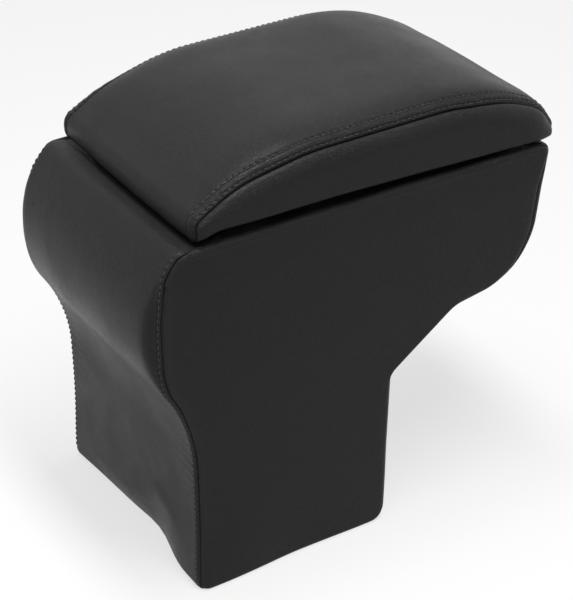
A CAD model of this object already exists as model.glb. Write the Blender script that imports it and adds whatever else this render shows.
"""Car centre armrest: leather covers, stitching, felt lining, finishes and a studio stage.

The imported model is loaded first. Lengths in this file are millimetres, in the same frame as the model: X to
the front of the car, Y to its left, Z up, with the origin under the middle of the foot.
"""

import math
from functools import wraps

import bpy
import numpy as np
from bpy.props import FloatProperty, FloatVectorProperty, PointerProperty
from bpy.types import Operator, Panel, PropertyGroup
from mathutils import Matrix, Vector


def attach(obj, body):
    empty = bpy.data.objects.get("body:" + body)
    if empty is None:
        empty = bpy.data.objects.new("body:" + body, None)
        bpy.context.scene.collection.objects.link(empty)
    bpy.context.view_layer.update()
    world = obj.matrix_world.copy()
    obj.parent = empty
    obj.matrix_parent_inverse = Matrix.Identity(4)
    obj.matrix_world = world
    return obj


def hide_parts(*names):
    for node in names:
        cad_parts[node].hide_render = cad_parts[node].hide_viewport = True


bl_info = {
    "name": "Car centre armrest",
    "version": (1, 0, 0),
    "blender": (4, 5, 0),
    "location": "View3D > Sidebar > Armrest",
    "description": "Leather covers, stitching, felt lining, finishes and stage of a car centre armrest",
    "category": "Object",
}

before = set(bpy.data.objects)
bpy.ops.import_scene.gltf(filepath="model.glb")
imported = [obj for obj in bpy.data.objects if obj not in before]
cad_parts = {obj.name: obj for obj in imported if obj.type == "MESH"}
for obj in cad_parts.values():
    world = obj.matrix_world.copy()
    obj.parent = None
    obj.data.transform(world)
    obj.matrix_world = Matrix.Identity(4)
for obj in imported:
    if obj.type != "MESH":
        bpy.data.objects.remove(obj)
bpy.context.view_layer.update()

# Outline of the body, seen from the side
HALF_WIDTH = 84.5
RIM = 230.0
HEEL_X = -65.5
HEEL_RADIUS = 4.0
WAIST_HEIGHT = 88.0
WAIST_CENTRE_X = -158.94
WAIST_RADIUS = 93.44
BULGE_CENTRE = (-22.5, 177.98)
BULGE_RADIUS = 70.0
REAR_RIM_RADIUS = 10.0
TOE = (65.5, 0.0)
TOE_RADIUS = 10.0
KNEE = (71.0, 104.2)
BEND = (117.0, 137.8)
NOSE = (171.5, 146.2)
FRONT_RIM = (183.5, 230.0)
FRONT_RIM_RADIUS = 7.0
FRONT_RADII = (10.0, 20.0, 47.0)
HEM = 24.0

# Storage box
BOX_REAR = -26.34
BOX_FRONT = 146.0
BOX_SIDE = 67.95
MOUTH_FOLD = 1.5
TURNED_IN = 10.0

# Lid, in a frame on the hinge axis
HINGE = (-55.54, 235.1)
LID_TILT = math.atan2(2.5, 250.34)
LID_UNDER = 1.4
LID_REAR = -4.3
LID_CROWN_REAR = (44.3, 40.7)
LID_CROWN_FRONT = (188.7, 43.6)
LID_NOSE = (235.9, 21.6)
LID_LIP = (248.2, 6.6)
LID_LIP_RADIUS = 3.5
LID_RADII = (10.0, 140.0, 141.0, 42.0)
LID_CROSS_RADIUS = 3000.0
LID_HEM = 24.0
PANEL_X = (27.2, 202.04)
PANEL_Y = 66.5
PANEL_THICKNESS = 1.5

# Felt lining of the storage box: its thickness, the floor's underside and the walls' lower and upper edges
FELT = 1.2
FELT_FLOOR = 168.15
FELT_WALLS = (169.5, 219.8)

# Places inside the padding, from which its outside faces away
BODY_MIDDLE = (25, 0, 150)
LID_MIDDLE = (120, 0, 15)

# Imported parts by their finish
BOARDS_ACROSS = (
    ("rear_board", "front_board", "hinge_rail", "catch_rail")
    + ("compartment_rear_wall", "compartment_front_wall")
)
BOARDS_FLAT = ("compartment_floor", "base_board", "corner_battens", "lid_board")
ZINC_PARTS = (
    ("tee_nuts", "assembly_screws", "hinge_body_screws", "hinge_lid_screws", "catch_screws", "hinge_pin")
    + ("strike_plate", "strike_screws")
)

# Seams and stitching: distances from the seam, depths of the valleys, and sizes of the thread
STITCH_PITCH = 3.9
STITCH_LENGTH = 3.0
THREAD_THICKNESS = 0.58
REAR_STITCH = 2.7
REAR_STITCH_DEPTH = 0.35
LID_STITCH = (2.1, 7.3)
LID_STITCH_DEPTH = 0.4
LID_ROLL = 0.45
FACE_ROWS = 320
LID_ROWS = 400

# Distances from a seam at which the leather is modelled, close together beside the seam and the stitching
SEAM_STEPS = (
    (0, 0.25, 0.5, 0.8, 1.1, 1.5, 1.9, 2.3, 2.6, 2.9, 3.3, 3.9, 4.7, 5.7, 7, 9, 12)
    + (16, 21, 27, 34, 42, 51, 61, 71)
)
SIDE_STEPS = (0, 0.25, 0.5, 0.8, 1.1, 1.5, 2, 2.5, 3.1, 3.8, 4.6, 5.6, 7, 9, 12, 16)
LID_SEAM_STEPS = (
    (0, 0.25, 0.5, 0.8, 1.1, 1.5, 1.9, 2.2, 2.6, 3.1, 3.7, 4.4, 5.1, 5.8, 6.4, 6.8, 7.1, 7.4, 7.7, 8.1, 8.6)
    + (9.3, 10.3, 12, 14.5, 17, 20, 24, 29, 35, 42, 50, 59, 69)
)

# Rows of the body covers: hem rows by their distance under the foot and their lift, shares of the rim
HEM_ROWS = ((HEM, 1.2), *((distance, 0.0) for distance in (HEM - 0.2, 19, 13, 8, 4, 1.6)))
RIM_SHARES = np.linspace(0, 1, 9)[1:]
MITRE = 1 - math.sin(math.radians(45))

# Heights between which a form of the padding rises, and between which it dies away again
BULGE_SEAM = ((108, 150), (200, 229))
NOSE_SWELL = ((135, 165), (200, 228))
SIDE_SWELL = ((95, 160), (205, 229))
FRONT_SWELL = ((20, 60), (215, 229))

# The same along the lid, for its crown
LID_SWELL = ((-2, 45), (190, 238))

# Tuck in the foot's rear edge: its middle and width across, its height at the ends and its rise in the middle
TUCK_MIDDLE = -34
TUCK_WIDTH = 28
TUCK_HEIGHT = 18
TUCK_RISE = 27

# Creases at the waist, and lengths of the slow and the small unevenness of the leather
CREASE_DEPTH = 0.28
CREASE_PITCH = 6.3
WAVES = (90, 38)

# How far round the lid's shoulder its seam lies, in degrees: at the rear, its rise and its fall
LID_SEAM_TURN = 38
LID_SEAM_RISE = 14
LID_SEAM_FALL = 17

# Rows of the lid's hems by their distance in from the edge, and of its gussets by that from the seam
LID_HEM_REAR = (0.6, 6, 12, 20, 32)
LID_HEM_FRONT = (2, 8, 16, 30, 44)
GUSSET_HEM = (1.5, 6, 12, 20.5)
GUSSET_STEPS = np.concatenate([[0, 0.25, 0.5, 0.8, 1.2, 1.7, 2.4, 3.2, 4.4, 6], np.linspace(8, 40, 20)])

# Corner radii of the felt walls, the felt floor and the lid's panel, and places that their faces look at
WALL_CORNER = 6.0
FLOOR_CORNER = 5.8
PANEL_CORNER = 9.0
FELT_LOOKS_AT = {"box": (60, 0, 400), "lid": (60, 0, -400)}

# Stage: the place that the lamps point at, in metres, and half the floor's width
STAGE_MIDDLE = (0.05, 0, 0.15)
FLOOR_REACH = 6000

# Camera, fitted to the photograph: azimuth, elevation and roll in degrees, how far it stands to the right, up
# and back in millimetres, and the focal length and the picture's height in pixels
CAMERA_ANGLES = (-30.55, 30.849, -1.28)
CAMERA_OFFSETS = (85.248, 134.004, 1189.837)
CAMERA_ORIGIN_X = 55.6
FOCAL_LENGTH = 1880.15
PICTURE_HEIGHT = 600
SENSOR_HEIGHT = 36

# Colours of dust
DUST = (0.3, 0.3, 0.29, 1)
LEATHER_DUST = (0.25, 0.25, 0.24, 1)


# Curves and meshes


def arc(centre, radius, start, end, count):
    """Points along an arc of the side view between two angles in degrees, with its outward normals."""
    angles = np.radians(np.linspace(start, end, count))
    normals = np.stack([np.cos(angles), np.sin(angles)], 1)
    return np.array(centre) + radius * normals, normals


def rounded_line(corners, radii, step=0.5):
    """Points along a line through corners, each inner corner rounded by its radius."""
    points = [np.array(corners[0], float)]
    for before, corner, after, radius in zip(corners, corners[1:], corners[2:], radii):
        corner = np.array(corner, float)
        back = np.array(before) - corner
        on = np.array(after) - corner
        back /= np.linalg.norm(back)
        on /= np.linalg.norm(on)
        half = math.acos(np.clip(back @ on, -1, 1)) / 2
        reach = radius / math.tan(half)
        bisector = (back + on) / np.linalg.norm(back + on)
        centre = corner + bisector * radius / math.sin(half)
        first = corner + back * reach - centre
        last = corner + on * reach - centre
        a0 = math.atan2(first[1], first[0])
        a1 = math.atan2(last[1], last[0])
        a1 -= 2 * math.pi * round((a1 - a0) / (2 * math.pi))
        count = max(3, int(abs(a1 - a0) * radius / step) + 2)
        for a in np.linspace(a0, a1, count):
            points.append(centre + radius * np.array([math.cos(a), math.sin(a)]))
    points.append(np.array(corners[-1], float))
    return np.array(points)


def along(points, count, side):
    """Evenly spaced points along a line, and its unit normals, to its left where side is 1, else right."""
    steps = np.linalg.norm(np.diff(points, axis=0), axis=1)
    keep = np.concatenate([[True], steps > 1e-6])
    points = points[keep]
    lengths = np.concatenate([[0], np.cumsum(np.linalg.norm(np.diff(points, axis=0), axis=1))])
    dense = np.linspace(0, lengths[-1], 4000)
    fine = np.stack([np.interp(dense, lengths, points[:, k]) for k in range(2)], 1)
    tangent = np.gradient(fine, dense, axis=0)
    kernel = np.ones(9) / 9
    padded = np.pad(tangent, ((4, 4), (0, 0)), mode="edge")
    tangent = np.stack([np.convolve(padded[:, k], kernel, mode="valid") for k in range(2)], 1)
    tangent /= np.linalg.norm(tangent, axis=1, keepdims=True)
    places = np.linspace(0, lengths[-1], count)
    chosen = np.stack([np.interp(places, dense, fine[:, k]) for k in range(2)], 1)
    direction = np.stack([np.interp(places, dense, tangent[:, k]) for k in range(2)], 1)
    direction /= np.linalg.norm(direction, axis=1, keepdims=True)
    normals = side * np.stack([-direction[:, 1], direction[:, 0]], 1)
    return chosen, normals


def smooth_step(value, low, high):
    """0 below low, 1 above high, and a smooth rise between."""
    t = np.clip((value - low) / (high - low), 0, 1)
    return t * t * (3 - 2 * t)


def hill(value, middle, width):
    """A smooth hill of height 1."""
    return np.exp(-(((value - middle) / width) ** 2))


def between(value, rise, fall):
    """1 between two values, with a smooth rise before and a smooth fall after."""
    return smooth_step(value, *rise) * (1 - smooth_step(value, *fall))


def grid_normals(grid):
    """Unit normals of a grid of points."""
    down = np.gradient(grid, axis=0)
    across = np.gradient(grid, axis=1)
    normals = np.cross(down, across)
    return normals / np.maximum(np.linalg.norm(normals, axis=2, keepdims=True), 1e-9)


def grid_object(name, grid, near=None, turned=False):
    """A smooth mesh object from a grid in millimetres, its faces outward and its rubbed places marked."""
    rows, columns = grid.shape[:2]
    index = np.arange(rows * columns).reshape(rows, columns)
    quads = np.stack([index[:-1, :-1], index[:-1, 1:], index[1:, 1:], index[1:, :-1]], -1).reshape(-1, 4)
    if not turned:
        quads = quads[:, ::-1]
    obj = mesh_object(name, grid.reshape(-1, 3), quads)
    if near is not None:
        rub = obj.data.attributes.new("rub", "FLOAT", "POINT")
        rub.data.foreach_set("value", hill(near.ravel(), 2.5, 2.5).astype(np.float32))
    return obj


def mesh_object(name, points, faces):
    """A smooth mesh object from points in millimetres and faces."""
    mesh = bpy.data.meshes.new(name)
    mesh.from_pydata((np.asarray(points) / 1000).tolist(), [], [[int(i) for i in face] for face in faces])
    mesh.polygons.foreach_set("use_smooth", [True] * len(mesh.polygons))
    mesh.update()
    obj = bpy.data.objects.new(name, mesh)
    bpy.context.scene.collection.objects.link(obj)
    return obj


def mirrored(grid):
    """A grid on the other side of the armrest."""
    return grid * np.array([1, -1, 1])


def finish_piece(obj, material, body, nodes):
    """Gives a piece its material, the body it rides on and the nodes it stands for."""
    obj.data.materials.append(material)
    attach(obj, body)
    if nodes:
        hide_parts(*nodes)
    return obj


def seam_groove(near, shape):
    """How far the leather rolls in and dives beside a seam."""
    return -shape.seam_depth * hill(near, 0, 0.42) - shape.seam_roll * hill(near, 0, 1.5)


def edge_distance(grid):
    """Distance of each point of a grid from the grid's first column, along its row."""
    steps = np.linalg.norm(np.diff(grid, axis=1), axis=2)
    return np.concatenate([np.zeros((grid.shape[0], 1)), np.cumsum(steps, axis=1)], axis=1)


def run_distance(line):
    """Distance of each point along a line."""
    steps = np.linalg.norm(np.diff(line, axis=0), axis=1)
    return np.concatenate([[0], np.cumsum(steps)])


def soft_noise(x, y, size, seed):
    """A smooth field between about -1 and 1 made of a few slanted waves."""
    pick = np.random.RandomState(seed)
    total = np.zeros_like(x, float)
    for _ in range(9):
        turn = pick.uniform(0, 2 * math.pi)
        wave = pick.uniform(0.6, 1.7) * 2 * math.pi / size
        shift = pick.uniform(0, 2 * math.pi)
        total += np.sin((x * math.cos(turn) + y * math.sin(turn)) * wave + shift)
    return total / 4.5


# Shape of the body's skin


def rear_levels():
    """Side view points and normals of the rear's heel, face and rim edge, and X where the rim starts."""
    heel = arc((HEEL_X + HEEL_RADIUS, HEEL_RADIUS), HEEL_RADIUS, 270, 180, 9)
    turn = math.degrees(math.asin((BULGE_CENTRE[1] - WAIST_HEIGHT) / (WAIST_RADIUS + BULGE_RADIUS)))
    run = BULGE_RADIUS - REAR_RIM_RADIUS
    rise = RIM - REAR_RIM_RADIUS - BULGE_CENTRE[1]
    rim_x = BULGE_CENTRE[0] - math.sqrt(run**2 - rise**2)
    top_angle = math.degrees(math.atan2(rise, rim_x - BULGE_CENTRE[0]))
    waist = arc((WAIST_CENTRE_X, WAIST_HEIGHT), WAIST_RADIUS, 0, turn, 120)[0]
    bulge = arc(BULGE_CENTRE, BULGE_RADIUS, 180 + turn, top_angle, 200)[0]
    straight = np.array([(HEEL_X, HEEL_RADIUS), (HEEL_X, WAIST_HEIGHT)])
    face = along(np.concatenate([straight, waist[1:], bulge[1:]]), FACE_ROWS, 1)
    rim = arc((rim_x, RIM - REAR_RIM_RADIUS), REAR_RIM_RADIUS, top_angle, 90, 8)
    return heel, face, rim, rim_x


def front_levels():
    """Side view points and normals of the front's toe, face and rim edge, and X where the rim starts."""
    lean = np.array(KNEE) - np.array(TOE)
    lean /= np.linalg.norm(lean)
    toe_turn = math.degrees(math.atan2(lean[0], lean[1]))
    toe_reach = TOE_RADIUS * math.tan(math.radians((90 - toe_turn) / 2))
    toe_centre = (TOE[0] - toe_reach, TOE_RADIUS)
    toe = arc(toe_centre, TOE_RADIUS, 270, 360 - toe_turn, 9)
    up = np.array(FRONT_RIM) - np.array(NOSE)
    up /= np.linalg.norm(up)
    rim_turn = math.degrees(math.atan2(up[0], up[1]))
    rim_reach = FRONT_RIM_RADIUS * math.tan(math.radians((90 + rim_turn) / 2))
    rim_centre = (FRONT_RIM[0] - rim_reach, RIM - FRONT_RIM_RADIUS)
    rim = arc(rim_centre, FRONT_RIM_RADIUS, -rim_turn, 90, 8)
    corners = [tuple(toe[0][-1]), KNEE, BEND, NOSE, tuple(rim[0][0])]
    face = along(rounded_line(corners, FRONT_RADII), FACE_ROWS, -1)
    return toe, face, rim, rim_centre[0]


def corner_of(points, normals, side):
    """Radius of the body's corner at points of an outline, and how far round it the seam lies, in radians."""
    shape = get_shape()
    z = points[:, 1]
    if side < 0:
        swell = hill(z, 178, 34)
        radius = shape.foot_corner + (shape.rear_corner - shape.foot_corner) * swell
        turn = 45 + 40 * between(z, *BULGE_SEAM)
    else:
        swell = between(z, *NOSE_SWELL)
        radius = shape.foot_corner + (shape.front_corner - shape.foot_corner) * swell
        turn = 45 + 32 * swell
    upright = normals[:, 0] ** 2
    low = np.where((normals[:, 1] < 0) & ((z < 60) | (side < 0)), 1 - upright, 0)
    high = np.where((normals[:, 1] > 0) & (z > 215), 1 - upright, 0)
    upright = 1 - low - high
    radius = radius * upright + shape.base_edge * low + shape.rim_edge * high
    turn = turn * upright + 45 * (1 - upright)
    return radius, np.radians(turn)


def corner_levels(levels, side):
    """All points, normals, corner radii and seam turns of one end's heel, face and rim."""
    heel, face, rim = levels[:3]
    points = np.concatenate([heel[0], face[0][1:], rim[0][1:]])
    normals = np.concatenate([heel[1], face[1][1:], rim[1][1:]])
    radius, turn = corner_of(points, normals, side)
    crown = rear_crown(points[:, 1]) if side < 0 else front_crown(points[:, 1])
    return points, normals, radius, turn, crown * np.minimum(1, np.abs(normals[:, 0]) * 1.6)


def fullness(z):
    """How far the side padding stands out beyond the edges."""
    return get_shape().side_fullness * between(z, *SIDE_SWELL)


def rear_crown(z):
    """How far the rear face stands out between its seams."""
    low = smooth_step(z, 105, 172)
    high = 1 - 0.4 * smooth_step(z, 185, 228)
    return get_shape().rear_crown * low * high


def front_crown(z):
    """How far the front strip stands out between its seams."""
    return get_shape().front_crown * between(z, *FRONT_SWELL)


def edge_inset(distance, radius):
    """How far a rounded edge draws the side in, at a distance from the outline."""
    short = np.clip(radius - distance, 0, radius)
    return radius - np.sqrt(np.maximum(radius**2 - short**2, 0))


def base_height(y):
    """Height of the foot's rounded lower edge at a distance from the armrest's middle."""
    return edge_inset(HALF_WIDTH - y, get_shape().base_edge)


def rim_height(y):
    """Height of the rim's rounded outer edge at a distance from the armrest's middle."""
    return RIM - edge_inset(HALF_WIDTH - y, get_shape().rim_edge)


def mitre_places():
    """Distances from the armrest's middle at which the covers meet under the foot and on the rim."""
    shape = get_shape()
    return HALF_WIDTH - shape.base_edge * MITRE, HALF_WIDTH - shape.rim_edge * MITRE


def mouth_rows():
    """How far each row of the edge turned into the storage box lies behind its wall and below the rim."""
    for turn in (25, 50, 75, 90):
        a = math.radians(turn)
        yield MOUTH_FOLD * (1 - math.sin(a)), MOUTH_FOLD * (1 - math.cos(a))
    yield from ((0, 3), (0, 6), (0, TURNED_IN - 0.3), (1.0, TURNED_IN))


def over_corner(steps, start, radius, turn, spare):
    """Y of steps from a seam over a rounded corner to the middle, which are on it, and their angles."""
    corner = radius * turn
    on_corner = steps < corner
    phi = turn - steps / radius
    left = np.clip((steps - corner) / (steps[-1] - corner + spare), 0, 1)
    return np.where(on_corner, start + radius * np.sin(phi), start * (1 - left)), on_corner, phi


def whole_row(point, inward, y, inset, middle):
    """Points across the armrest, from the Y and the inset of one half and the inset of the middle."""
    y = np.concatenate([-y, [0.0], y[::-1]])
    inset = np.concatenate([inset, [middle], inset[::-1]])
    return np.stack([point[0] - inward[0] * inset, y, point[1] - inward[1] * inset], 1)


def band_row(point, normal, radius, turn, crown):
    """Points across the rear or front strip at one place of its outline, from right seam to left seam."""
    width = HALF_WIDTH + float(fullness(point[1])) * min(1.0, abs(normal[0]) * 1.6)
    start = width - radius
    y, on_corner, phi = over_corner(np.array(SEAM_STEPS), start, radius, turn, 9)
    inset = np.where(on_corner, radius * (1 - np.cos(phi)), 0) + crown * np.clip(y / start, 0, 1) ** 3.2
    return whole_row(point, normal, y, inset, 0.0)


def spread_row(x, limit, z_of):
    """A row straight across the armrest between two mitred ends, at a height that depends on Y."""
    steps = np.array(SEAM_STEPS)
    y = -limit + np.where(steps < 12, steps, 12 + (limit - 12) * (steps - 12) / (steps[-1] + 9 - 12))
    y = np.concatenate([y, [0.0], -y[::-1]])
    return np.stack([np.full_like(y, x), y, z_of(np.abs(y))], 1)


def band_grid(levels, side):
    """The rear or front strip of the body: hem, heel, face, rim and turned-in edge, from right to left."""
    heel_x, rim_x = levels[0][0][0][0], levels[3]
    box_x = BOX_REAR if side < 0 else BOX_FRONT
    base_y, rim_y = mitre_places()
    rows = []
    for t, lift in HEM_ROWS:
        rows.append(spread_row(heel_x - side * t, base_y - t, lambda y: base_height(y) + lift))
    for place in zip(*corner_levels(levels, side)):
        rows.append(band_row(*place))
    for t in RIM_SHARES:
        x = rim_x + (box_x + side * MOUTH_FOLD - rim_x) * t
        rows.append(spread_row(x, rim_y + (BOX_SIDE + MOUTH_FOLD - rim_y) * t, rim_height))
    for back, drop in mouth_rows():
        rows.append(spread_row(box_x + side * back, BOX_SIDE + back, lambda y: RIM - drop + 0 * y))
    return np.array(rows)


def side_plane(rear_seam, front_seam):
    """Points of the side view in rows from the rear seam to the front one, close together beside both."""
    near = np.array(SIDE_STEPS)
    middle = np.linspace(0, 1, 34)[1:-1]
    plane = []
    for a, b in zip(rear_seam, front_seam):
        start = near / np.linalg.norm(b - a)
        inner = start[-1] + (1 - 2 * start[-1]) * middle
        share = np.concatenate([start, inner, 1 - start[::-1]])
        plane.append(a + (b - a) * share[:, None])
    return np.array(plane)


def side_grid(rear, front):
    """The right side cover: hem, side, rim and turned-in edge, in rows from rear seam to front seam."""
    edges, seams, corners = [], [], []
    for levels, side in ((rear, -1), (front, 1)):
        points, normals, radius, turn, crown = corner_levels(levels, side)
        edges.append(points - normals * crown[:, None])
        seams.append(points - normals * (crown + radius * (1 - np.cos(turn)))[:, None])
        corners.append(radius)
    outline = np.concatenate([edges[0], edges[1][::-1], edges[0][:1]])
    outline_radius = np.concatenate([corners[0], corners[1][::-1], corners[0][:1]])
    plane = side_plane(*seams)
    distance, radius = outline_distance(plane.reshape(-1, 2), outline, outline_radius)
    inset = edge_inset(distance, radius).reshape(plane.shape[:2])
    full = fullness(plane[..., 1]) + get_shape().rolled_edge * hill(plane[..., 1], RIM - 3.4, 1.2)
    rows = list(np.stack([plane[..., 0], -(HALF_WIDTH + full - inset), plane[..., 1]], -1))
    base_y, rim_y = mitre_places()
    heel_x, toe_x = rear[0][0][0][0], front[0][0][0][0]

    def level(row, x0, x1, depth, z):
        x = x0 + (x1 - x0) * (row[:, 0] - row[0, 0]) / (row[-1, 0] - row[0, 0])
        return np.stack([x, np.full_like(x, -depth), np.full_like(x, z)], 1)

    below, above = [], []
    for t, lift in HEM_ROWS:
        below.append(level(rows[0], heel_x + t, toe_x - t, base_y - t, base_height(base_y - t) + lift))
    for t in RIM_SHARES:
        x0 = rear[3] + (BOX_REAR - MOUTH_FOLD - rear[3]) * t
        x1 = front[3] + (BOX_FRONT + MOUTH_FOLD - front[3]) * t
        depth = rim_y + (BOX_SIDE + MOUTH_FOLD - rim_y) * t
        above.append(level(rows[-1], x0, x1, depth, rim_height(depth)))
    for back, drop in mouth_rows():
        above.append(level(rows[-1], BOX_REAR - back, BOX_FRONT + back, BOX_SIDE + back, RIM - drop))
    return np.array(below + rows + above)


def outline_distance(points, outline, values=None):
    """Distance of points of the side view from a line, and the line's value at the nearest place."""
    start, line = outline[:-1], outline[1:] - outline[:-1]
    values = np.zeros(len(outline)) if values is None else values
    best = np.full(len(points), 1e9)
    found = np.zeros(len(points))
    for s, v, v0, v1 in zip(start, line, values[:-1], values[1:]):
        square = v @ v
        if square < 1e-12:
            continue
        t = np.clip(((points - s) @ v) / square, 0, 1)
        away = np.linalg.norm(points - (s + t[:, None] * v), axis=1)
        nearer = away < best
        best[nearer] = away[nearer]
        found[nearer] = (v0 + (v1 - v0) * t)[nearer]
    return best, found


def foot_tuck(grid):
    """Draws the middle of the rear cover's lower edge in under the foot, and lets its corners flare out."""
    shape = get_shape()
    x, y, z = grid[..., 0], grid[..., 1], np.maximum(grid[..., 2], 0)
    behind = smooth_step(-x, 15, 45)
    reach = np.minimum(smooth_step(y, -66, -16), np.clip(1 - (y + 8) / 92, 0, 1))
    tall = TUCK_HEIGHT + TUCK_RISE * hill(y, TUCK_MIDDLE, TUCK_WIDTH)
    low = np.clip(1 - z / tall, 0, 1) ** 1.6
    fold = 0.9 * hill(z, tall * 0.9, 7) * hill(y, -36, 20)
    spread = hill(z, 0, 40)
    moved = grid.copy()
    moved[..., 0] += (shape.tuck * reach * low - shape.flare * spread - fold) * behind
    corner = smooth_step(-x, -5, 48) * (1 - 0.6 * smooth_step(-x, 58, 66)) * smooth_step(np.abs(y), 40, 82)
    moved[..., 1] += shape.flare * 1.1 * np.sign(y) * spread * corner
    return moved


def waist_creases(grid, near):
    """Small creases that the stitching draws in the rear cover where the waist bends inward."""
    z = grid[..., 2]
    run = row_run(grid, 0)
    beside = np.exp(-near / 8) * smooth_step(near, 2.5, 5)
    return -CREASE_DEPTH * np.cos(2 * math.pi * run / CREASE_PITCH) * hill(z, 90, 24) * beside


def wavy(grid, near, amount, seed):
    """Slow unevenness of stretched leather over foam, gone at the seams."""
    x, y, z = grid[..., 0], grid[..., 1], grid[..., 2]
    slow, small = (soft_noise(x + 0.6 * z, y + 0.3 * z, size, seed + k) for k, size in enumerate(WAVES))
    return amount * (0.75 * slow + 0.25 * small) * smooth_step(near, 2, 22)


# Shape of the lid's skin


def lid_point(grid):
    """Turns points of the lid's frame, as X, Y, Z, into the model's frame."""
    c, s = math.cos(LID_TILT), math.sin(LID_TILT)
    x = HINGE[0] + grid[..., 0] * c + grid[..., 2] * s
    z = HINGE[1] - grid[..., 0] * s + grid[..., 2] * c
    return np.stack([x, grid[..., 1], z], -1)


def lid_profile():
    """Side view of the lid's middle, from its rear lower edge over the crown to the lip of its nose."""
    shape = get_shape()
    corners = [
        (LID_REAR, LID_UNDER - shape.rear_lip + shape.rear_edge),
        (LID_REAR, LID_UNDER + 9.2),
        LID_CROWN_REAR,
        LID_CROWN_FRONT,
        LID_NOSE,
        LID_LIP,
    ]
    return along(rounded_line(corners, LID_RADII), LID_ROWS, 1)


def shoulder(x):
    """Radius of the lid's shoulder along its length."""
    shape = get_shape()
    rear = shape.shoulder_rear + (shape.shoulder_middle - shape.shoulder_rear) * smooth_step(x, -4, 45)
    return rear + (shape.shoulder_front - shape.shoulder_middle) * smooth_step(x, 176, 232)


def lid_seam_turn(x):
    """How far round the shoulder the lid's seam lies, in radians."""
    middle = LID_SEAM_RISE * smooth_step(x, 0, 60)
    return np.radians(LID_SEAM_TURN + middle - LID_SEAM_FALL * smooth_step(x, 176, 234))


def lid_row(point, normal, radius, turn, level, rise):
    """Points across the lid's top cover at one place of its profile, from the right seam to the left one."""
    start = HALF_WIDTH - radius
    y = over_corner(np.array(LID_SEAM_STEPS), start, radius, turn, 10)[0]
    drop = radius * (1 - math.cos(turn)) + rise
    seam_y = start + radius * math.sin(turn)
    power = max(math.tan(turn) * seam_y / drop, 3)
    inset = y**2 / (2 * LID_CROSS_RADIUS) - rise + drop * (y / seam_y) ** power
    inward = (1 - level) * normal + level * np.array([1 / normal[0] if level else 0, 0])
    return whole_row(point, inward, y, inset, -rise)


def turned_edge(row, normal, radii, angles):
    """Rows that carry a row on round an edge with a radius along X and one along Z, away from its normal."""
    start = math.atan2(normal[1], normal[0])
    rows = []
    for a in angles:
        moved = row.copy()
        moved[:, 0] += radii[0] * (math.cos(start + a) - math.cos(start))
        moved[:, 2] += radii[1] * (math.sin(start + a) - math.sin(start))
        rows.append(moved)
    return rows


def hem_rows(row, side, under, reaches):
    """Rows of a hem that runs in under the lid from a row, mitred at both ends."""
    rows = []
    for t in reaches:
        moved = row.copy()
        limit = abs(row[0, 1]) - min(t, LID_HEM)
        moved[:, 1] = row[:, 1] * limit / abs(row[0, 1])
        moved[:, 0] = row[:, 0] - side * t
        moved[:, 2] = under
        rows.append(moved)
    return rows


def lid_top_grid():
    """The lid's top cover from its rear hem to its front hem, and which of its rows are the outside."""
    shape = get_shape()
    points, normals = lid_profile()
    x = points[:, 0]
    levels = smooth_step(x, LID_NOSE[0] - 4, LID_LIP[0] - 0.5)
    rise = shape.lid_crown * between(x, *LID_SWELL)
    rows = zip(points, normals, shoulder(x), lid_seam_turn(x), levels, rise)
    main = [lid_row(*row) for row in rows]
    rear = turned_edge(main[0], (-1, 0), (2.2, shape.rear_edge), np.radians([15, 30, 45, 60, 75, 90]))
    front_turn = math.degrees(math.atan2(normals[-1][1], normals[-1][0]))
    lip = (LID_LIP_RADIUS, LID_LIP_RADIUS)
    front = turned_edge(main[-1], normals[-1], lip, -np.radians(np.linspace(0, 90 + front_turn, 9)[1:]))
    inner = rear[-1].copy()
    inner[:, 0] -= 0.3
    inner[:, 2] = LID_UNDER - 0.6
    hem_rear = [inner] + hem_rows(inner, -1, LID_UNDER, LID_HEM_REAR)
    hem_front = hem_rows(front[-1], 1, LID_UNDER, LID_HEM_FRONT)
    grid = drooped(np.array(hem_rear[::-1] + rear[::-1] + main + front + hem_front))
    first = len(hem_rear) + len(rear)
    return grid, first, len(main)


def drooped(grid):
    """A grid of the lid with the lower edge of its front part let down a little."""
    low = 1 - smooth_step(grid[..., 2], 2, 16)
    moved = grid.copy()
    moved[..., 2] -= get_shape().lid_droop * smooth_step(grid[..., 0], 95, 205) * low
    return moved


def lid_side_grid(top, first, count):
    """The lid's right gusset, from its seam down to its lower edge and under the lid."""
    shape = get_shape()
    seam = top[first - 3 : first + count + 8, 0]
    length = run_distance(seam)
    share = length / length[-1]
    x0, x1 = seam[0, 0], seam[-1, 0]
    base = x0 + (x1 - x0) * share
    low = LID_UNDER - (shape.rear_lip - 0.8) * (1 - smooth_step(base, -3, 16))
    low = low - shape.lid_droop * smooth_step(base, 95, 205)
    points, _ = lid_profile()
    outer = []
    for v in GUSSET_STEPS / GUSSET_STEPS[-1]:
        x = seam[:, 0] + (base - seam[:, 0]) * v
        z = seam[:, 2] + (low - seam[:, 2]) * v
        distance = outline_distance(np.stack([x, z], 1), points)[0] - HALF_WIDTH**2 / (2 * LID_CROSS_RADIUS)
        y_top = HALF_WIDTH - edge_inset(np.maximum(distance, 0), shoulder(x))
        if v == 0:
            offset = np.abs(seam[:, 1]) - y_top
        under = edge_inset(np.maximum(z - low, 0), LID_LIP_RADIUS)
        tall = np.clip((seam[:, 2] - low) / 28, 0, 1)
        full = shape.gusset_fullness * math.sin(math.pi * v**0.6) * tall
        outer.append(np.stack([x, -(y_top + offset * (1 - v) ** 3 - under * v + full), z], 1))
    last = outer[-1]
    for t in GUSSET_HEM:
        moved = last.copy()
        moved[:, 0] = x0 + t + (x1 - x0 - 2 * t) * share
        moved[:, 1] = last[:, 1] + t
        outer.append(moved)
    return np.array(outer)


# Dressing: seams, stitch dents, creases and stitches


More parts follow.
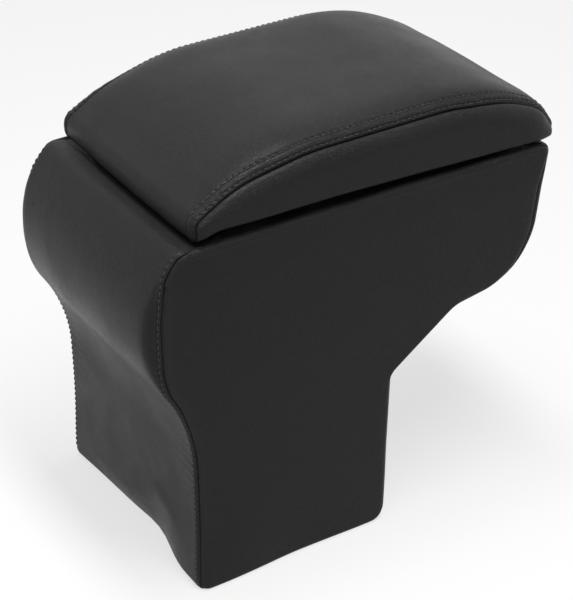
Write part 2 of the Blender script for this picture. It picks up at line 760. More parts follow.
def outward_normals(grid, centre):
    """Unit normals of a grid that point away from a place inside the armrest, and if they were turned."""
    normals = grid_normals(grid)
    turned = np.sum(normals * (grid - np.array(centre))) < 0
    return (-normals if turned else normals), turned


def nearest_seam(grid):
    """Distance of each point of a grid from the nearer of its two side seams."""
    return np.minimum(edge_distance(grid), edge_distance(grid[:, ::-1])[:, ::-1])


def dress(grid, centre, height):
    """A grid moved along its normals by a height, and whether its faces have to be turned over."""
    normals, turned = outward_normals(grid, centre)
    return grid + normals * height[..., None], turned


def stitch_row(near, run, place, depth):
    """Dents of one row of stitching: a shallow valley, deepest where the needle went in."""
    shape = get_shape()
    pulled = 0.5 + 0.5 * np.cos(2 * math.pi * run / STITCH_PITCH)
    valley = -depth * hill(near, place, 0.55)
    return valley * (0.75 + 0.25 * pulled) - shape.pucker * pulled**2 * hill(near, place, 1.3)


def row_run(grid, column):
    """Distance of each row of a grid along one of its columns, as a column."""
    return run_distance(grid[:, column])[:, None]


def stitch_line(grid, centre, distance, rows):
    """Points on a grid's rows at a distance from its first column, and the outward directions there."""
    run = edge_distance(grid)
    normals, _ = outward_normals(grid, centre)
    line, up = [], []
    for r in range(*rows):
        line.append([np.interp(distance, run[r], grid[r, :, k]) for k in range(3)])
        up.append([np.interp(distance, run[r], normals[r, :, k]) for k in range(3)])
    line, up = np.array(line), np.array(up)
    return line, up / np.linalg.norm(up, axis=1, keepdims=True)


def thread_stitches(line, up, run):
    """Small arched stitches of thread along a line on the leather, between its needle holes."""
    count = int(run[-1] // STITCH_PITCH)
    start = int(math.ceil(run[0] / STITCH_PITCH))
    sides, rings = 7, 7
    points, faces = [], []
    for n in range(start, count):
        middle = (n + 0.5) * STITCH_PITCH
        share = np.linspace(-1, 1, rings)
        at = middle + share * STITCH_LENGTH / 2
        core = np.stack([np.interp(at, run, line[:, k]) for k in range(3)], 1)
        lift = np.stack([np.interp(at, run, up[:, k]) for k in range(3)], 1)
        lift /= np.linalg.norm(lift, axis=1, keepdims=True)
        core = core + lift * (THREAD_THICKNESS * (0.5 - 1.1 * share**4))[:, None]
        forward = np.gradient(core, axis=0)
        forward /= np.linalg.norm(forward, axis=1, keepdims=True)
        across = np.cross(lift, forward)
        across /= np.linalg.norm(across, axis=1, keepdims=True)
        lift = np.cross(forward, across)
        size = THREAD_THICKNESS / 2 * np.sqrt(np.maximum(1 - share**6, 0.08))
        base = len(points)
        for ring in range(rings):
            for side in range(sides):
                a = 2 * math.pi * side / sides
                out = math.cos(a) * across[ring] + math.sin(a) * lift[ring]
                points.append(core[ring] + size[ring] * out)
        for ring in range(rings - 1):
            for side in range(sides):
                after = (side + 1) % sides
                low, high = base + ring * sides, base + (ring + 1) * sides
                faces.append((low + side, low + after, high + after, high + side))
        ends = len(points)
        last = base + (rings - 1) * sides
        points += [core[0], core[-1]]
        for side in range(sides):
            after = (side + 1) % sides
            faces += [(ends, base + after, base + side), (ends + 1, last + side, last + after)]
    return points, faces


def stitches_object(name, runs):
    """One mesh of all the stitches along several lines."""
    points, faces = [], []
    for line, up, run in runs:
        more, rings = thread_stitches(line, up, run)
        base = len(points)
        points += more
        faces += [tuple(base + i for i in face) for face in rings]
    return mesh_object(name, points, faces)


# Felt lining


def rounded_loop(x_range, half_y, radius, count=10, step=6.0):
    """Points round a rectangle with rounded corners, seen from above, and their outward directions."""
    points, normals = [], []
    rear, front = x_range
    for x, y, start in ((front, half_y, 0), (rear, half_y, 90), (rear, -half_y, 180), (front, -half_y, 270)):
        centre = np.array([x - math.copysign(radius, x - sum(x_range) / 2), y - math.copysign(radius, y)])
        for a in np.radians(np.linspace(start, start + 90, count)):
            normals.append((math.cos(a), math.sin(a)))
            points.append(centre + radius * np.array(normals[-1]))
    points, normals = np.array(points + points[:1]), np.array(normals + normals[:1])
    loop, out = [], []
    for a, b, na, nb in zip(points, points[1:], normals, normals[1:]):
        parts = max(1, int(np.linalg.norm(b - a) / step))
        for t in np.arange(parts) / parts:
            loop.append(a + (b - a) * t)
            out.append(na + (nb - na) * t)
    return np.array(loop + [points[0]]), np.array(out + [normals[0]])


def felt_walls_grid():
    """Felt round the storage box's walls, from its lower edge up to its rounded upper edge."""
    loop, out = rounded_loop((BOX_REAR, BOX_FRONT), BOX_SIDE, WALL_CORNER)
    run = run_distance(loop)
    fade = np.sin(math.pi * run / run[-1])
    low, high = FELT_WALLS
    profile = [(FELT, low), (0.3, low), (0, low + 0.4)]
    profile += [(0, z) for z in np.linspace(low + 2, high - 1.6, 16)]
    profile += [(0.1, high - 0.8), (0.35, high - 0.25), (0.7, high)]
    profile += [(1.05, high - 0.25), (FELT, high - 0.9), (FELT, high - 3)]
    rows = []
    for back, z in profile:
        ripple = 0.12 * soft_noise(run, np.full_like(run, z), 19, 5) * fade * (back < FELT) * (z > low + 1)
        place = loop + out * (back - ripple)[:, None]
        lift = 0.25 * soft_noise(run, run * 0, 26, 8) * fade * (z > high - 2)
        rows.append(np.column_stack([place, np.minimum(z + lift, high)]))
    return np.array(rows)


def level_row(points, z):
    """A row of points at one height."""
    return np.column_stack([points, np.full(len(points), z)])


def rows_to_middle(loop, middle, widest, height):
    """Rows that draw a loop in to its middle, at a height that depends on the place and the row's share."""
    rows = []
    for share in np.linspace(widest, 0.0, 26):
        place = middle + (loop - middle) * share
        rows.append(np.column_stack([place, height(place, share)]))
    return rows


def felt_floor_grid():
    """Felt on the storage box's floor, with its edges a little up the walls."""
    gap = 0.15
    loop, _ = rounded_loop((BOX_REAR + gap, BOX_FRONT - gap), BOX_SIDE - gap, FLOOR_CORNER)
    middle = np.array([(BOX_REAR + BOX_FRONT) / 2, 0.0])
    top = FELT_FLOOR + FELT
    edge = ((1, FELT_FLOOR), (1, top + 0.9), (0.996, top + 1.3), (0.99, top + 0.9), (0.982, top + 0.3))
    rows = [level_row(middle + (loop - middle) * share, z) for share, z in edge]

    def height(place, share):
        return top + 0.1 * soft_noise(place[:, 0], place[:, 1], 40, 3) * min(1, share * 4)

    return np.array(rows + rows_to_middle(loop, middle, 0.97, height))


def lid_panel_grid():
    """The felt-covered panel under the lid, with soft edges, from its hidden edge to its middle."""
    loop, out = rounded_loop(PANEL_X, PANEL_Y, PANEL_CORNER)
    middle = np.array([sum(PANEL_X) / 2, 0.0])
    top = LID_UNDER - 0.15
    low = top - PANEL_THICKNESS
    edge = ((0, top), (0, low + 0.9), (0.15, low + 0.45), (0.5, low + 0.12), (1.1, low))
    rows = [level_row(loop - out * back, z) for back, z in edge]

    def height(place, share):
        swell = 1 + soft_noise(place[:, 0], place[:, 1], 50, 11)
        return low - 0.12 * swell * min(1, share * 4) * (1 - share**6)

    return np.array(rows + rows_to_middle(loop - out * 1.1, middle, 0.96, height))


# Materials


def wire(tree, node, inputs):
    """Sets or wires a node's inputs."""
    for key, value in inputs.items():
        if isinstance(value, bpy.types.NodeSocket):
            tree.links.new(value, node.inputs[key])
        else:
            node.inputs[key].default_value = value


def add(tree, kind, inputs=None, **settings):
    """A node of a material or an effect, with its settings, and its inputs set or wired."""
    made = tree.nodes.new("ShaderNode" + kind)
    for name, value in settings.items():
        setattr(made, name, value)
    wire(tree, made, inputs or {})
    return made


def maths(tree, operation, a, b, clamp=False):
    """The result of one calculation."""
    return add(tree, "Math", {0: a, 1: b}, operation=operation, use_clamp=clamp).outputs[0]


def product(tree, a, b):
    """Two values multiplied."""
    return maths(tree, "MULTIPLY", a, b)


def vector_maths(tree, operation, vector, inputs):
    """The result of one calculation with a place."""
    return add(tree, "VectorMath", {0: vector, **inputs}, operation=operation).outputs[0]


def noise(tree, vector, scale, detail=2.0, **more):
    """Cloudy noise of a fineness, from 0 to 1."""
    return add(tree, "TexNoise", {"Vector": vector, "Scale": scale, "Detail": detail, **more}).outputs["Fac"]


def eased(tree, value, low, high, start=0.0, end=1.0):
    """A value turned from one range to another, smoothly and within it."""
    inputs = {"Value": value, "From Min": low, "From Max": high, "To Min": start, "To Max": end}
    return add(tree, "MapRange", inputs, interpolation_type="SMOOTHSTEP").outputs[0]


def blended(tree, mask, first, second):
    """A colour between two, by a mask."""
    return add(tree, "Mix", {0: mask, 6: first, 7: second}, data_type="RGBA").outputs[2]


def made_once(store, name):
    """Has a function make its effect or material at the first call, and find it by name at later ones."""

    def wrap(make):
        @wraps(make)
        def find_or_make():
            return getattr(bpy.data, store).get(name) or make(name)

        return find_or_make

    return wrap


def effect(name, setting, default, *results):
    """A new effect for several materials, with a place and one setting coming in and values going out."""
    group = bpy.data.node_groups.new(name, "ShaderNodeTree")
    group.interface.new_socket("Vector", in_out="INPUT", socket_type="NodeSocketVector")
    group.interface.new_socket(setting, in_out="INPUT", socket_type="NodeSocketFloat").default_value = default
    for result in results:
        group.interface.new_socket(result, in_out="OUTPUT", socket_type="NodeSocketFloat")
    start = group.nodes.new("NodeGroupInput").outputs
    return group, start[0], start[1], group.nodes.new("NodeGroupOutput")


@made_once("node_groups", "pebble grain")
def pebble_grain(name):
    """Leather grain: small pebbles with creases between them."""
    group, place, per_metre, end = effect(name, "Pebbles per metre", 900.0, "Height", "Creases")
    warp = add(group, "TexNoise", {"Vector": place, "Scale": 420.0, "Detail": 2.0}).outputs["Color"]
    centred = vector_maths(group, "SUBTRACT", warp, {1: (0.5, 0.5, 0.5)})
    shift = vector_maths(group, "SCALE", centred, {3: 0.0016})
    inputs = {"Vector": vector_maths(group, "ADD", place, {1: shift}), "Scale": per_metre}
    cells = add(group, "TexVoronoi", inputs, feature="DISTANCE_TO_EDGE")
    pebbles = eased(group, cells.outputs["Distance"], 0.0, 0.22)
    height = maths(group, "ADD", pebbles, product(group, noise(group, place, 2600.0), 0.35))
    wire(group, end, {"Height": height, "Creases": maths(group, "SUBTRACT", 1.0, pebbles)})
    return group


@made_once("node_groups", "patches")
def patches(name):
    """Slow uneven patches in a colour or a gloss, from 0 to 1."""
    group, place, per_metre, end = effect(name, "Patches per metre", 25.0, "Mask")
    cloud = noise(group, place, per_metre, 4.0, Roughness=0.6)
    wire(group, end, {"Mask": eased(group, cloud, 0.3, 0.7)})
    return group


@made_once("node_groups", "dust specks")
def dust_specks(name):
    """A few specks of dust and lint, from 0 to 1."""
    group, place, amount, end = effect(name, "Amount", 0.5, "Mask")
    specks = add(group, "TexVoronoi", {"Vector": place, "Scale": 120.0, "Randomness": 1.0})
    near = eased(group, specks.outputs["Distance"], 0.0, 0.055, 1.0, 0.0)
    there = eased(group, noise(group, place, 35.0, 1.0), 0.55, 0.7)
    wire(group, end, {"Mask": product(group, product(group, near, there), amount)})
    return group


@made_once("node_groups", "fine texture")
def fine_texture(name):
    """The fine even texture of powder coat, moulded plastic, rubber or sintered metal."""
    group, place, per_metre, end = effect(name, "Grains per metre", 2000.0, "Height", "Mask")
    coarse = noise(group, place, product(group, per_metre, 0.2))
    both = maths(group, "ADD", noise(group, place, per_metre, 3.0), product(group, coarse, 0.5))
    wire(group, end, {"Height": both, "Mask": eased(group, coarse, 0.35, 0.65)})
    return group


@made_once("node_groups", "fibres")
def fibres(name):
    """Tangled fibres of felt or thread."""
    group, place, per_metre, end = effect(name, "Fibres per metre", 1500.0, "Height", "Mask")
    total = None
    for stretch in ((1, 0.25, 1), (0.25, 1, 1), (0.7, 0.7, 0.2)):
        strand = noise(group, vector_maths(group, "MULTIPLY", place, {1: stretch}), per_metre, Distortion=0.8)
        lines = maths(group, "PINGPONG", product(group, strand, 6.0), 1.0)
        total = lines if total is None else maths(group, "MAXIMUM", total, lines)
    clumps = noise(group, place, 130.0, 3.0)
    height = maths(group, "ADD", product(group, total, 0.6), clumps)
    wire(group, end, {"Height": height, "Mask": maths(group, "MULTIPLY", total, clumps, clamp=True)})
    return group


@made_once("node_groups", "wood plies")
def wood_plies(name):
    """Plies of plywood, dark and light in turn through the thickness, and the grain of its faces."""
    group, place, depth, end = effect(name, "Depth", 0.0, "Grain", "Glue lines", "Height")
    along_grain = vector_maths(group, "MULTIPLY", place, {1: (0.08, 1.0, 1.0)})
    rings = noise(group, along_grain, 60.0, 6.0, Distortion=1.5)
    bands = maths(group, "PINGPONG", product(group, rings, 9.0), 1.0)
    pores = product(group, noise(group, along_grain, 900.0), 0.4)
    grain = maths(group, "ADD", product(group, bands, 0.6), pores)
    layers = maths(group, "PINGPONG", product(group, depth, 660.0), 1.0)
    height = maths(group, "SUBTRACT", grain, product(group, layers, 0.2))
    glue = eased(group, layers, 0.0, 0.16, 1.0, 0.0)
    wire(group, end, {"Grain": grain, "Glue lines": glue, "Height": height})
    return group


def finish(name):
    """A new material with a Principled shader, with its tree, its shader and the object's coordinates."""
    material = bpy.data.materials.new(name)
    material.use_nodes = True
    tree = material.node_tree
    return material, tree, tree.nodes["Principled BSDF"], add(tree, "TexCoord").outputs["Object"]


def placed(tree, group, vector, value):
    """The results of an effect put in a material, with its own value."""
    return add(tree, "Group", {0: vector, 1: value}, node_tree=group).outputs


def shades(colour, factor):
    """A colour made lighter or darker."""
    return (*(min(1.0, c * factor) for c in colour), 1)


def shaded(tree, colour, mask, first, second, *layers):
    """A colour between two of its shades by a mask, under layers of a mask, its share and a shade."""
    made = blended(tree, mask, shades(colour, first), shades(colour, second))
    for over, share, factor in layers:
        made = blended(tree, product(tree, over, share), made, shades(colour, factor))
    return made


def dusted(tree, colour, place, amount, dust=DUST):
    """A colour with specks of dust over it."""
    return blended(tree, placed(tree, dust_specks(), place, amount)["Mask"], colour, dust)


def coat(tree, shader, colour, roughness, height, depth):
    """Puts a colour, a roughness and a height on a shader's surface."""
    bump = add(tree, "Bump", {"Height": height, "Distance": depth})
    wire(tree, shader, {"Base Color": colour, "Roughness": roughness, "Normal": bump.outputs["Normal"]})


@made_once("materials", "black leatherette")
def leather(name):
    """Black leatherette: a fine pebbled grain, satin, a little polished along the seams."""
    look = get_finish()
    material, tree, shader, place = finish(name)
    grain = placed(tree, pebble_grain(), place, look.grain_per_metre)
    creases = grain["Creases"]
    uneven = placed(tree, patches(), place, 30.0)["Mask"]
    rub = add(tree, "Attribute", attribute_name="rub").outputs["Fac"]
    colour = shaded(tree, look.leather_colour, uneven, 0.9, 1.12, (creases, 0.5, 0.6), (rub, 0.4, 1.5))
    gloss = eased(tree, uneven, 0.0, 1.0, look.leather_roughness - 0.03, look.leather_roughness + 0.04)
    gloss = maths(tree, "SUBTRACT", gloss, product(tree, rub, 0.06))
    gloss = maths(tree, "ADD", gloss, product(tree, creases, 0.12))
    colour = dusted(tree, colour, place, 0.35, LEATHER_DUST)
    coat(tree, shader, colour, gloss, grain["Height"], look.grain_depth)
    wire(tree, shader, {"Specular IOR Level": look.leather_gloss})
    return material


@made_once("materials", "black thread")
def thread(name):
    """Black twisted polyester thread, a little shinier than the leatherette."""
    material, tree, shader, place = finish(name)
    twist = placed(tree, fibres(), place, 2600.0)
    colour = shaded(tree, get_finish().thread_colour, twist["Mask"], 0.6, 1.4)
    coat(tree, shader, colour, eased(tree, twist["Mask"], 0.0, 1.0, 0.5, 0.36), twist["Height"], 0.00008)
    return material


@made_once("materials", "black felt")
def felt(name):
    """Black needle felt."""
    material, tree, shader, place = finish(name)
    tangle = placed(tree, fibres(), place, 1100.0)
    uneven = placed(tree, patches(), place, 60.0)["Mask"]
    colour = shaded(tree, get_finish().felt_colour, tangle["Mask"], 0.55, 1.9, (uneven, 0.3, 1.3))
    colour = dusted(tree, colour, place, 0.5)
    coat(tree, shader, colour, eased(tree, tangle["Mask"], 0.0, 1.0, 0.98, 0.85), tangle["Height"], 0.0006)
    wire(tree, shader, {"Specular IOR Level": 0.15, "Sheen Weight": 0.25, "Sheen Roughness": 0.5})
    return material


def plywood(thickness_axis):
    """Bare birch plywood whose plies lie across one axis."""
    material, tree, shader, place = finish(f"birch plywood {thickness_axis}")
    depth = add(tree, "SeparateXYZ", {0: place}).outputs[thickness_axis]
    plies = placed(tree, wood_plies(), place, depth)
    uneven = placed(tree, patches(), place, 18.0)["Mask"]
    layers = (uneven, 0.35, 0.85), (plies["Glue lines"], 0.4, 0.4)
    colour = shaded(tree, get_finish().wood_colour, plies["Grain"], 1.08, 0.72, *layers)
    coat(tree, shader, colour, eased(tree, plies["Grain"], 0.0, 1.0, 0.62, 0.8), plies["Height"], 0.0002)
    return material


def textured(name, colour, roughness, grains, depth, metallic=0.0, spread=0.06):
    """A hard finish with a fine texture, slightly uneven in colour and gloss, with a little dust."""
    material, tree, shader, place = finish(name)
    texture = placed(tree, fine_texture(), place, grains)
    uneven = placed(tree, patches(), place, 90.0)["Mask"]
    shade = shaded(tree, colour, texture["Mask"], 0.85, 1.15, (uneven, 0.4, 1.3))
    gloss = eased(tree, uneven, 0.0, 1.0, roughness - spread, roughness + spread)
    coat(tree, shader, dusted(tree, shade, place, 0.2), gloss, texture["Height"], depth)
    wire(tree, shader, {"Metallic": metallic})
    return material


# Sizes and colours


def number_of(name, description, default, **more):
    """A setting that is a number."""
    return FloatProperty(name=name, description=description, default=default, **more)


def size_of(name, description, default):
    """A setting in millimetres."""
    return number_of(name, f"{description}, mm", default)


def share_of(name, description, default):
    """A setting from 0 to 1, shown as a slider."""
    return number_of(name, description, default, subtype="FACTOR")


def colour_of(name, description, default):
    """A setting that is a colour."""
    words = f"Colour of {description}"
    return FloatVectorProperty(name=name, description=words, subtype="COLOR", default=default)


class ArmrestPadding(PropertyGroup):
    """Sizes of the padding, the seams and the stitch dents, in millimetres"""

    foot_corner: size_of("Foot corner", "Corner radius of the foot", 4.0)
    rear_corner: size_of("Rear corner", "Corner radius of the rear bulge", 10.0)
    front_corner: size_of("Front corner", "Corner radius of the nose", 7.0)
    base_edge: size_of("Base edge", "Radius of the foot's lower edge", 2.5)
    rolled_edge: size_of("Rolled edge", "How far the side covers' top edges stand out", 0.5)
    rim_edge: size_of("Rim edge", "Radius of the rim's outer edge", 2.8)
    rear_crown: size_of("Rear crown", "How far the rear face stands out", 0.8)
    front_crown: size_of("Front crown", "How far the front strip stands out", 0.5)
    side_fullness: size_of("Side fullness", "How far the sides stand out", 0.8)
    shoulder_rear: size_of("Rear shoulder", "Shoulder radius at the rear", 8.0)
    shoulder_middle: size_of("Shoulder", "Shoulder radius at the middle", 19.0)
    shoulder_front: size_of("Nose shoulder", "Shoulder radius at the nose", 19.5)
    lid_crown: size_of("Lid crown", "How far the lid's middle stands up", 1.7)
    lid_droop: size_of("Lid droop", "How far the lid's front lower edge hangs", 2.0)
    gusset_fullness: size_of("Gusset fullness", "How far the lid's sides bulge", 1.2)
    rear_lip: size_of("Rear lip", "How far the lid's rear edge hangs down", 4.2)
    rear_edge: size_of("Rear edge", "How tall the rounding of the lid's rear edge is", 5.0)
    seam_depth: size_of("Seam depth", "How deep the seams sink", 0.55)
    seam_roll: size_of("Seam roll", "How far the leather rolls in beside a seam", 0.75)
    pucker: size_of("Pucker", "Depth of the dents at the needle holes", 0.35)
    tuck: size_of("Tuck", "How far the rear cover's hem is drawn under", 8.8)
    flare: size_of("Flare", "How far the foot's rear corners stand out", 2.6)
    waviness: size_of("Waviness", "Unevenness of the stretched leather", 0.35)


class ArmrestFinish(PropertyGroup):
    """Colours and gloss of the materials"""

    leather_colour: colour_of("Leather", "the leatherette", (0.0115, 0.0115, 0.0118))
    leather_roughness: share_of("Leather roughness", "Roughness of the leatherette", 0.31)
    leather_gloss: share_of("Leather gloss", "Strength of the leatherette's reflections", 0.14)
    grain_per_metre: number_of("Grain", "Pebbles of the grain in a metre", 900.0)
    grain_depth: number_of("Grain depth", "Depth of the grain", 0.00012, subtype="DISTANCE", unit="LENGTH")
    thread_colour: colour_of("Thread", "the thread", (0.016, 0.016, 0.016))
    felt_colour: colour_of("Felt", "the felt lining", (0.02, 0.02, 0.021))
    wood_colour: colour_of("Plywood", "the plywood", (0.62, 0.47, 0.3))
    zinc_colour: colour_of("Zinc", "the plated screws", (0.62, 0.62, 0.6))


class ArmrestStage(PropertyGroup):
    """Lamps and background"""

    key_power: number_of("Overhead lamp", "Power of the lamp overhead, W", 6.0)
    near_power: number_of("Near lamp", "Power of the lamp above the near side, W", 26.0)
    fill_power: number_of("Rear lamp", "Power of the lamp behind the armrest, W", 3.0)
    room_light: number_of("Room light", "Strength of the room's even light", 0.12)
    white_share: share_of("White floor", "How much of the floor's shade is lost in white", 0.7)


def get_shape():
    """The sizes of the padding."""
    return bpy.context.scene.armrest_padding


def get_finish():
    """The colours and gloss of the materials."""
    return bpy.context.scene.armrest_finish


# Pieces


class ARMREST_OT_stage(Operator):
    """Floor, studio light and camera"""

    bl_idname = "armrest.stage"
    bl_label = "Stage"

    def execute(self, context):
        scene = context.scene
        stage = scene.armrest_stage
        scene.view_settings.view_transform = "Standard"
        add_camera(scene)
        reach = FLOOR_REACH
        corners = [(-reach, -reach, 0), (reach, -reach, 0), (reach, reach, 0), (-reach, reach, 0)]
        floor = mesh_object("floor", corners, [(0, 1, 2, 3)])
        floor.data.materials.append(pale_floor(stage.white_share))
        add_lamp("overhead lamp", (-0.25, 0.3, 1.5), 0.6, 0.6, stage.key_power)
        add_lamp("near lamp", (0, -0.35, 1.5), 0.3, 1.2, stage.near_power)
        add_lamp("rear lamp", (-1.32, -0.76, 0.5), 0.9, 0.9, stage.fill_power)
        add_room(scene, stage.room_light)
        return {"FINISHED"}


def in_sight(tree):
    """1 for what the camera sees, also mirrored or through something, and 0 for light on the objects."""
    path = add(tree, "LightPath").outputs
    indirect = maths(tree, "MAXIMUM", path["Is Glossy Ray"], path["Is Transmission Ray"])
    return maths(tree, "MAXIMUM", path["Is Camera Ray"], indirect)


def add_room(scene, strength):
    """Even light from all round, seen as white and shining with a strength of its own."""
    world = bpy.data.worlds.new("studio")
    scene.world = world
    world.use_nodes = True
    tree = world.node_tree
    light = eased(tree, in_sight(tree), 0.0, 1.0, strength, 1.0)
    wire(tree, tree.nodes["Background"], {"Strength": light, "Color": (1, 1, 1, 1)})


def pale_floor(white_share):
    """A pale floor that the camera sees as nearly white, with the object's shadow still on it."""
    material, tree, shader, _ = finish("pale floor")
    wire(tree, shader, {"Base Color": (0.85, 0.85, 0.85, 1), "Roughness": 0.8})
    white = add(tree, "Emission", {"Color": (1, 1, 1, 1), "Strength": 1.0})
    share = product(tree, in_sight(tree), white_share)
    mixed = add(tree, "MixShader", {0: share, 1: shader.outputs[0], 2: white.outputs[0]})
    wire(tree, tree.nodes["Material Output"], {"Surface": mixed.outputs[0]})
    return material


def add_camera(scene):
    """The camera, at the photograph's angle."""
    azimuth, elevation, roll = (math.radians(a) for a in CAMERA_ANGLES)
    flat = math.cos(elevation)
    back = Vector((math.sin(azimuth) * flat, -math.cos(azimuth) * flat, math.sin(elevation)))
    level = Vector((math.cos(azimuth), math.sin(azimuth), 0))
    upright = back.cross(level)
    right = level * math.cos(roll) + upright * math.sin(roll)
    up = upright * math.cos(roll) - level * math.sin(roll)
    to_right, to_top, to_back = CAMERA_OFFSETS
    place = right * to_right + up * to_top + back * to_back - Vector((CAMERA_ORIGIN_X, 0, 0))
    data = bpy.data.cameras.new("camera")
    data.sensor_fit = "VERTICAL"
    data.sensor_height = SENSOR_HEIGHT
    data.lens = FOCAL_LENGTH * SENSOR_HEIGHT / PICTURE_HEIGHT
    data.clip_end = 50
    camera = bpy.data.objects.new("camera", data)
    turn = Matrix((right, up, back)).transposed().to_4x4()
    camera.matrix_world = Matrix.Translation(place / 1000) @ turn
    scene.collection.objects.link(camera)
    scene.camera = camera


def add_lamp(name, offset, width, length, power):
    """A flat rectangular lamp, at an offset from the stage's middle and pointing at it."""
    data = bpy.data.lights.new(name, "AREA")
    data.shape = "RECTANGLE"
    data.size = width
    data.size_y = length
    data.energy = power
    lamp = bpy.data.objects.new(name, data)
    target = Vector(STAGE_MIDDLE)
    lamp.location = target + Vector(offset)
    lamp.rotation_euler = (target - lamp.location).to_track_quat("-Z", "Y").to_euler()
    bpy.context.scene.collection.objects.link(lamp)


def both_sides(line, up, run):
    """A row of stitches on the right and the same on the left."""
    return [(line, up, run), (mirrored(line), mirrored(up), run)]


def add_cover(name, grid, near, turned, body, nodes):
    """A padded cover of leatherette on a body, in place of its nodes."""
    finish_piece(grid_object(name, grid, near, turned), leather(), body, nodes)


def add_stitching(name, runs, body):
    """Rows of stitches on a body."""
    finish_piece(stitches_object(name, runs), thread(), body, [])


class ARMREST_OT_body_covers(Operator):
    """The rear, front and side covers of the body and the rear stitching"""

    bl_idname = "armrest.body_covers"
    bl_label = "Body covers"

    def execute(self, context):
        shape = get_shape()
        levels = rear_levels(), front_levels()
        for name, end, side in zip(("rear", "front"), levels, (-1, 1)):
            grid = band_grid(end, side)
            near = nearest_seam(grid)
            height = seam_groove(near, shape) + wavy(grid, near, shape.waviness, 4 + side)
            run = row_run(grid, 0)
            if side < 0:
                stitches = stitch_row(near, run, REAR_STITCH, REAR_STITCH_DEPTH)
                height = height + stitches + waist_creases(grid, near)
            dressed, turned = dress(grid, BODY_MIDDLE, height)
            dressed = foot_tuck(dressed)
            if side < 0:
                first = len(HEM_ROWS) + len(end[0][0]) + 2
                rows = (first, first + FACE_ROWS - 1)
                line, up = stitch_line(dressed, BODY_MIDDLE, REAR_STITCH, rows)
                add_stitching("rear_stitching", both_sides(line, up, run[slice(*rows), 0]), "box")
            add_cover(f"{name}_leather", dressed, near, turned, "box", [f"{name}_cover", f"{name}_foam"])
        side = side_grid(*levels)
        near = nearest_seam(side)
        height = seam_groove(near, shape) + wavy(side, near, shape.waviness, 9)
        dressed, turned = dress(side, BODY_MIDDLE, height)
        dressed = foot_tuck(dressed)
        for name, grid in (("right", dressed), ("left", mirrored(dressed))):
            nodes = [f"side_cover_{name}", f"side_foam_{name}"]
            add_cover(f"side_leather_{name}", grid, near, turned == (name == "right"), "box", nodes)
        return {"FINISHED"}


class ARMREST_OT_lid_covers(Operator):
    """The lid's top cover, its two side gussets and their stitching"""

    bl_idname = "armrest.lid_covers"
    bl_label = "Lid covers"

    def execute(self, context):
        shape = get_shape()
        grid, first, count = lid_top_grid()
        near = nearest_seam(grid)
        run = row_run(grid, 0)
        height = seam_groove(near, shape) + wavy(grid, near, shape.waviness * 1.3, 21)
        height += sum(stitch_row(near, run, place, LID_STITCH_DEPTH) for place in LID_STITCH)
        uneven = 1 + 0.35 * soft_noise(run + 0 * near, near * 3, 9, 2)
        height += LID_ROLL * hill(near, sum(LID_STITCH) / 2, 1.9) * uneven
        dressed, turned = dress(grid, LID_MIDDLE, height)
        gusset = lid_side_grid(grid, first, count)
        down = edge_distance(gusset.transpose(1, 0, 2)).T
        height = seam_groove(down, shape) + wavy(gusset, down, shape.waviness, 14)
        side, side_turned = dress(gusset, LID_MIDDLE, height)
        rows = (first + 9, first + count + 4)
        runs = []
        for place in LID_STITCH:
            line, up = stitch_line(dressed, LID_MIDDLE, place, rows)
            runs += both_sides(lid_point(line), lid_point(up) - lid_point(0 * up), run[slice(*rows), 0])
        nodes = ["lid_top_cover", "lid_foam"]
        add_cover("lid_top_leather", lid_point(dressed), near, turned, "lid", nodes)
        for name, part in (("right", side), ("left", mirrored(side))):
            turned = side_turned == (name == "right")
            nodes = [f"lid_side_cover_{name}"]
            add_cover(f"lid_side_leather_{name}", lid_point(part), down, turned, "lid", nodes)
        add_stitching("lid_stitching", runs, "lid")
        return {"FINISHED"}


class ARMREST_OT_felt_lining(Operator):
    """Felt on the storage box's floor and walls, and the felt panel under the lid"""

    bl_idname = "armrest.felt_lining"
    bl_label = "Felt lining"

    def execute(self, context):
        walls, floor, panel = felt_walls_grid(), felt_floor_grid(), lid_panel_grid()
        around = np.linalg.norm(np.diff(walls[4], axis=0), axis=1).sum() / 1000
        wall = (around, (FELT_WALLS[1] - FELT_WALLS[0]) / 1000)
        box = ((BOX_FRONT - BOX_REAR) / 1000, 2 * BOX_SIDE / 1000)
        cut = ((PANEL_X[1] - PANEL_X[0]) / 1000, 2 * PANEL_Y / 1000)
        for name, grid, body, node, flat, held, below in (
            ("felt_walls", walls, "box", "lining_walls", wall, "stretched", "compartment_rear_wall"),
            ("felt_floor", floor, "box", "lining_floor", box, "laid", "compartment_floor"),
            ("lid_felt_panel", lid_point(panel), "lid", "lid_lining", cut, "stretched", "lid_board"),
        ):
            _, turned = outward_normals(grid, FELT_LOOKS_AT[body])
            piece = grid_object(name, grid, None, not turned)
            finish_piece(piece, felt(), body, [node])
        return {"FINISHED"}


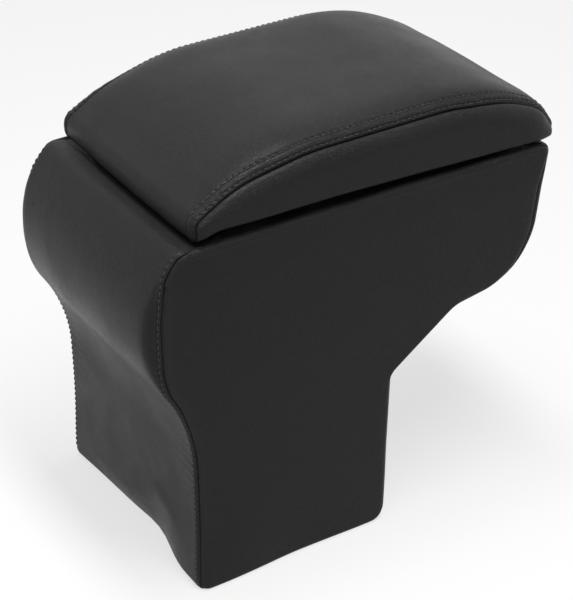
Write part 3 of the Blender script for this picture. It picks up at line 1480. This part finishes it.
class ARMREST_OT_finishes(Operator):
    """Finishes of the boards, the hinge, the catch, the screws and the buffers"""

    bl_idname = "armrest.finishes"
    bl_label = "Finishes"

    def execute(self, context):
        look = get_finish()
        zinc = textured("zinc plated steel", look.zinc_colour, 0.3, 1500.0, 0.00001, 1.0, 0.08)
        black_steel = textured("black powder coated steel", (0.02, 0.02, 0.02), 0.5, 2400.0, 0.00005)
        plastic = textured("black moulded plastic", (0.025, 0.025, 0.026), 0.55, 3000.0, 0.00004)
        magnet = textured("sintered magnet", (0.09, 0.09, 0.095), 0.45, 1800.0, 0.00003, 0.6)
        rubber = textured("black rubber", (0.02, 0.02, 0.02), 0.75, 1400.0, 0.00004)
        plies = {axis: plywood(axis) for axis in ("X", "Y", "Z")}
        for node, finish_of_node in (
            [(name, plies["Y"]) for name in ("side_board_left", "side_board_right")]
            + [(name, plies["X"]) for name in BOARDS_ACROSS]
            + [(name, plies["Z"]) for name in BOARDS_FLAT]
            + [(name, zinc) for name in ZINC_PARTS]
            + [("hinge_body_leaf", black_steel), ("hinge_lid_leaf", black_steel), ("catch_housing", plastic)]
            + [("catch_magnet", magnet), ("lid_buffers", rubber)]
        ):
            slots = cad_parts[node].data.materials
            slots.clear()
            slots.append(finish_of_node)
        return {"FINISHED"}


class ARMREST_PT_panel(Panel):
    """The armrest's pieces and their settings"""

    bl_label = "Armrest"
    bl_space_type = "VIEW_3D"
    bl_region_type = "UI"
    bl_category = "Armrest"

    def draw(self, context):
        for name, settings in SETTINGS:
            group = getattr(context.scene, name)
            for setting in settings.__annotations__:
                self.layout.prop(group, setting)
        for operator in PIECES:
            self.layout.operator(operator.bl_idname)


PIECES = (
    ARMREST_OT_stage,
    ARMREST_OT_body_covers,
    ARMREST_OT_lid_covers,
    ARMREST_OT_felt_lining,
    ARMREST_OT_finishes,
)
SETTINGS = (
    ("armrest_padding", ArmrestPadding),
    ("armrest_finish", ArmrestFinish),
    ("armrest_stage", ArmrestStage),
)


def register():
    """Registers the settings, the pieces and the panel."""
    for name, settings in SETTINGS:
        bpy.utils.register_class(settings)
        setattr(bpy.types.Scene, name, PointerProperty(type=settings))
    for operator in (*PIECES, ARMREST_PT_panel):
        bpy.utils.register_class(operator)


def unregister():
    """Takes them away again."""
    for operator in (*PIECES, ARMREST_PT_panel):
        bpy.utils.unregister_class(operator)
    for name, settings in SETTINGS:
        delattr(bpy.types.Scene, name)
        bpy.utils.unregister_class(settings)


def main():
    """Makes every piece in turn."""
    register()
    bpy.ops.armrest.stage()
    bpy.ops.armrest.body_covers()
    bpy.ops.armrest.lid_covers()
    bpy.ops.armrest.felt_lining()
    bpy.ops.armrest.finishes()
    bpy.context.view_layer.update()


if __name__ == "__main__":
    main()
